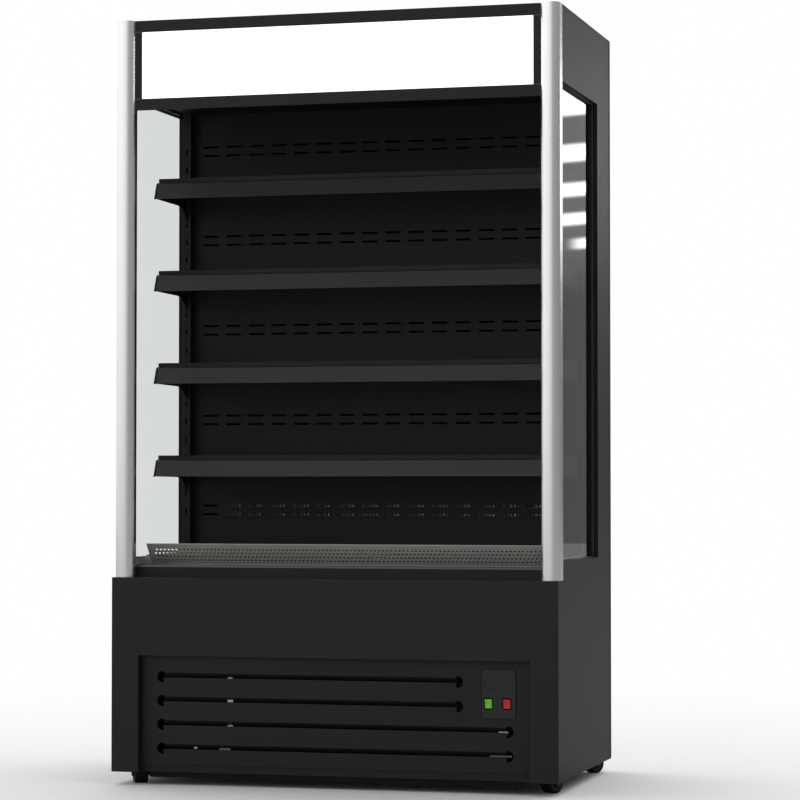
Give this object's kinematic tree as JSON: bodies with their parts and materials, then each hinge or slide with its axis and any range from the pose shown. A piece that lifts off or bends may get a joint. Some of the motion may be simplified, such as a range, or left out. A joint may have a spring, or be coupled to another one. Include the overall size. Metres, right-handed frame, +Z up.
{
  "type": "open multideck display fridge",
  "caption": "Upright open-front chilled display cabinet on swivel castors, with lit header, side windows, tilting shelves with label rails and a grilled machine compartment.",
  "frame": {"origin": "on the floor under the middle of the cabinet's outline, where the castors rest", "axes": "+Z up, -Y out of the open front, +X to the right of a shopper facing it"},
  "size_m": [1.2, 0.7, 2.018],
  "materials": {
    "case_paint": "fine satin powder coat, black",
    "panel_skin": "black laminated skin on a foam core",
    "header_paint": "satin black",
    "pillar_alu": "satin anodised extrusion",
    "liner_paint": "black inner liner",
    "riser_paint": "dark grey powder coat",
    "rail_face": "black label rail, satin",
    "sign_face": "translucent white, lit from behind",
    "lamp": "diffuser",
    "pane": "clear toughened glass",
    "seal": "matt",
    "fascia": "matt black",
    "screen": "dark tinted window",
    "green_key": "translucent green",
    "red_key": "translucent red",
    "zinc": "zinc plated",
    "tyre": "hard black tread",
    "pedal": "black",
    "aluminium_fin": "bare fins",
    "copper": "bare tube",
    "motor": "black motor bodies",
    "fan_plastic": "moulded black",
    "shell": "black enamelled shell",
    "grey_plastic": "light grey moulding",
    "comb": "grey honeycomb",
    "inlet": "black moulding"
  },
  "bodies": {
    "cabinet": {"base_frame": "case_paint", "side_panel_left": "panel_skin", "side_panel_right": "panel_skin", "front_panel": "case_paint", "service_grille": "case_paint", "control_fascia": "fascia", "display_window": "screen", "back_wall": "panel_skin", "rear_cover": "zinc", "power_inlet": "inlet", "tub_floor": "panel_skin", "front_sill": "case_paint", "return_air_grille": "riser_paint", "fan_plate": "zinc", "fan_motors": "motor", "evaporator_coil": "aluminium_fin", "rear_air_panel": "liner_paint", "shelf_uprights": "liner_paint", "roof_panel": "panel_skin", "ceiling_panel": "liner_paint", "air_honeycomb": "comb", "header_frame": "header_paint", "sign_panel": "sign_face", "sign_lamps": "lamp", "pillar_left": "pillar_alu", "pillar_right": "pillar_alu", "side_glass_left": "pane", "side_glass_right": "pane", "glass_gaskets": "seal", "compressor": "shell", "condenser_coil": "aluminium_fin", "fan_shroud": "zinc", "refrigerant_pipes": "copper", "electrical_box": "grey_plastic", "drip_pan": "grey_plastic", "deck_rails": "zinc"},
    "castor_front_left": {"castor_fork_front_left": "zinc"},
    "wheel_front_left": {"castor_wheel_front_left": "tyre"},
    "castor_front_right": {"castor_fork_front_right": "zinc"},
    "wheel_front_right": {"castor_wheel_front_right": "tyre"},
    "castor_rear_left": {"castor_fork_rear_left": "zinc"},
    "wheel_rear_left": {"castor_wheel_rear_left": "tyre"},
    "castor_rear_right": {"castor_fork_rear_right": "zinc"},
    "wheel_rear_right": {"castor_wheel_rear_right": "tyre"},
    "pedal_front_left": {"brake_pedal_front_left": "pedal"},
    "pedal_front_right": {"brake_pedal_front_right": "pedal"},
    "switch_green": {"rocker_switch_green": "green_key"},
    "switch_red": {"rocker_switch_red": "red_key"},
    "fan_condenser": {"condenser_fan": "fan_plastic"},
    "fan_evaporator_left": {"evaporator_fan_left": "fan_plastic"},
    "fan_evaporator_right": {"evaporator_fan_right": "fan_plastic"},
    "shelf_body_1": {"shelf_1": "liner_paint", "price_rail_1": "rail_face"},
    "shelf_body_2": {"shelf_2": "liner_paint", "price_rail_2": "rail_face"},
    "shelf_body_3": {"shelf_3": "liner_paint", "price_rail_3": "rail_face"},
    "shelf_body_4": {"shelf_4": "liner_paint", "price_rail_4": "rail_face"},
    "deck": {"deck_tray": "liner_paint"}
  },
  "joints": [
    {"name": "swivel_front_left", "type": "hinge", "parent": "cabinet", "child": "castor_front_left", "pos_m": [-0.552, -0.268, 0.062], "axis": [0, 0, 1], "continuous": true},
    {"name": "roll_front_left", "type": "hinge", "parent": "castor_front_left", "child": "wheel_front_left", "pos_m": [-0.543, -0.28359, 0.025], "axis": [0.866, 0.5, 0], "continuous": true},
    {"name": "brake_front_left", "type": "hinge", "parent": "castor_front_left", "child": "pedal_front_left", "pos_m": [-0.5355, -0.29658, 0.051], "axis": [0.866, 0.5, 0], "range_deg": [0, 15]},
    {"name": "swivel_front_right", "type": "hinge", "parent": "cabinet", "child": "castor_front_right", "pos_m": [0.552, -0.268, 0.062], "axis": [0, 0, 1], "continuous": true},
    {"name": "roll_front_right", "type": "hinge", "parent": "castor_front_right", "child": "wheel_front_right", "pos_m": [0.561, -0.25241, 0.025], "axis": [-0.866, 0.5, 0], "continuous": true},
    {"name": "brake_front_right", "type": "hinge", "parent": "castor_front_right", "child": "pedal_front_right", "pos_m": [0.5685, -0.23942, 0.051], "axis": [-0.866, 0.5, 0], "range_deg": [0, 15]},
    {"name": "swivel_rear_left", "type": "hinge", "parent": "cabinet", "child": "castor_rear_left", "pos_m": [-0.552, 0.27, 0.062], "axis": [0, 0, 1], "continuous": true},
    {"name": "roll_rear_left", "type": "hinge", "parent": "castor_rear_left", "child": "wheel_rear_left", "pos_m": [-0.56759, 0.279, 0.025], "axis": [-0.5, -0.866, 0], "continuous": true},
    {"name": "swivel_rear_right", "type": "hinge", "parent": "cabinet", "child": "castor_rear_right", "pos_m": [0.552, 0.27, 0.062], "axis": [0, 0, 1], "continuous": true},
    {"name": "roll_rear_right", "type": "hinge", "parent": "castor_rear_right", "child": "wheel_rear_right", "pos_m": [0.56232, 0.28475, 0.025], "axis": [-0.8192, 0.5736, 0], "continuous": true},
    {"name": "rock_green", "type": "hinge", "parent": "cabinet", "child": "switch_green", "pos_m": [0.413, -0.322, 0.2307], "axis": [-1, 0, 0], "range_deg": [0, 14]},
    {"name": "rock_red", "type": "hinge", "parent": "cabinet", "child": "switch_red", "pos_m": [0.461, -0.322, 0.2307], "axis": [-1, 0, 0], "range_deg": [0, 14]},
    {"name": "spin_condenser_fan", "type": "hinge", "parent": "cabinet", "child": "fan_condenser", "pos_m": [-0.12, -0.198, 0.204], "axis": [0, 1, 0], "continuous": true},
    {"name": "spin_evaporator_fan_left", "type": "hinge", "parent": "cabinet", "child": "fan_evaporator_left", "pos_m": [-0.26, 0.086, 0.533], "axis": [0, 1, 0], "continuous": true},
    {"name": "spin_evaporator_fan_right", "type": "hinge", "parent": "cabinet", "child": "fan_evaporator_right", "pos_m": [0.26, 0.086, 0.533], "axis": [0, 1, 0], "continuous": true},
    {"name": "tilt_shelf_1", "type": "hinge", "parent": "cabinet", "child": "shelf_body_1", "pos_m": [0, 0.115, 1.6085], "axis": [-1, 0, 0], "range_deg": [0, 12]},
    {"name": "tilt_shelf_2", "type": "hinge", "parent": "cabinet", "child": "shelf_body_2", "pos_m": [0, 0.115, 1.3575], "axis": [-1, 0, 0], "range_deg": [0, 12]},
    {"name": "tilt_shelf_3", "type": "hinge", "parent": "cabinet", "child": "shelf_body_3", "pos_m": [0, 0.115, 1.1065], "axis": [-1, 0, 0], "range_deg": [0, 12]},
    {"name": "tilt_shelf_4", "type": "hinge", "parent": "cabinet", "child": "shelf_body_4", "pos_m": [0, 0.115, 0.8555], "axis": [-1, 0, 0], "range_deg": [0, 12]},
    {"name": "lift_deck", "type": "slide", "parent": "cabinet", "child": "deck", "axis": [0, 0, 1], "range_m": [0, 0.06]}
  ]
}
